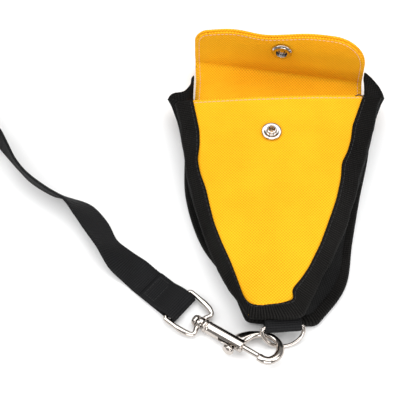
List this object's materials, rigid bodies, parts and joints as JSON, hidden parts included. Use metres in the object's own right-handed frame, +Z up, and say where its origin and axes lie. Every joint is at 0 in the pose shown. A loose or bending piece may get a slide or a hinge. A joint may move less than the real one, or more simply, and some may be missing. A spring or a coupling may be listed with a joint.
{
  "type": "treat pouch with swivel snap lead",
  "caption": "Fabric treat pouch with a folding snap flap and black gusset, and a D-ring at its narrow end that holds a swivel bolt snap with a webbing lead.",
  "frame": {"origin": "on the underside of the back panel, where the pouch rests, under the middle of the pouch", "axes": "+X to the right across the pouch as its front is looked down on, +Y from the narrow end to the mouth, +Z up from the surface that it lies on, through the front panel"},
  "size_m": [0.3511, 0.1983, 0.0486],
  "materials": {
    "yellow_canvas": "matt, plain-weave cotton canvas, warm yellow",
    "black_canvas": "matt, black woven canvas",
    "black_tape": "matt, black ribbed grosgrain tape",
    "black_webbing": "low sheen, black flat webbing",
    "nickel": "bright nickel plating",
    "spring_steel": "plain spring wire"
  },
  "bodies": {
    "pouch": {"back_panel": "yellow_canvas", "front_panel": "yellow_canvas", "gusset": "black_canvas", "front_binding": "black_tape", "back_binding": "black_tape", "snap_stud": "nickel", "snap_stud_eyelet": "nickel", "d_ring_tab": "black_webbing"},
    "flap": {"flap_lining": "yellow_canvas", "flap_outer": "yellow_canvas", "snap_socket": "nickel", "snap_socket_spring": "spring_steel", "snap_cap": "nickel"},
    "d_ring": {"d_ring": "nickel"},
    "hook": {"hook_body": "nickel", "swivel_post": "nickel", "trigger_spring": "spring_steel"},
    "trigger": {"trigger_bolt": "nickel", "thumb_knob": "nickel"},
    "eye": {"swivel_eye": "nickel"},
    "lead": {"lead_end_loop": "black_webbing", "lead_run": "black_webbing", "lead_coil": "black_webbing", "hand_loop": "black_webbing"}
  },
  "joints": [
    {"name": "flap_fold", "type": "hinge", "parent": "pouch", "child": "flap", "pos_m": [0, 0.0575, 0.008], "axis": [0.9986, -0.0523, 0], "range_deg": [0, 72]},
    {"name": "d_ring_swing", "type": "hinge", "parent": "pouch", "child": "d_ring", "pos_m": [-0.0005, -0.0843, 0.0103], "axis": [0.9913, 0.1042, -0.0802], "range_deg": [-60, 45]},
    {"name": "hook_swing", "type": "hinge", "parent": "d_ring", "child": "hook", "pos_m": [-0.0073, -0.0891, 0.00595], "axis": [-0.654, 0.4162, 0.6317], "range_deg": [-30, 10]},
    {"name": "trigger_slide", "type": "slide", "parent": "hook", "child": "trigger", "axis": [-0.8185, 0.5625, -0.1167], "range_m": [0, 0.007], "stiffness_N_per_m": 120, "springref_m": -0.002, "deforming": ["trigger_spring"]},
    {"name": "eye_swivel", "type": "hinge", "parent": "hook", "child": "eye", "pos_m": [-0.04454, -0.07904, 0.00345], "axis": [0.8185, -0.5625, 0.1167], "continuous": true},
    {"name": "lead_swing", "type": "hinge", "parent": "eye", "child": "lead", "pos_m": [-0.05746, -0.068, 0.00345], "axis": [-0.6494, -0.7604, 0], "range_deg": [-60, 60]}
  ]
}
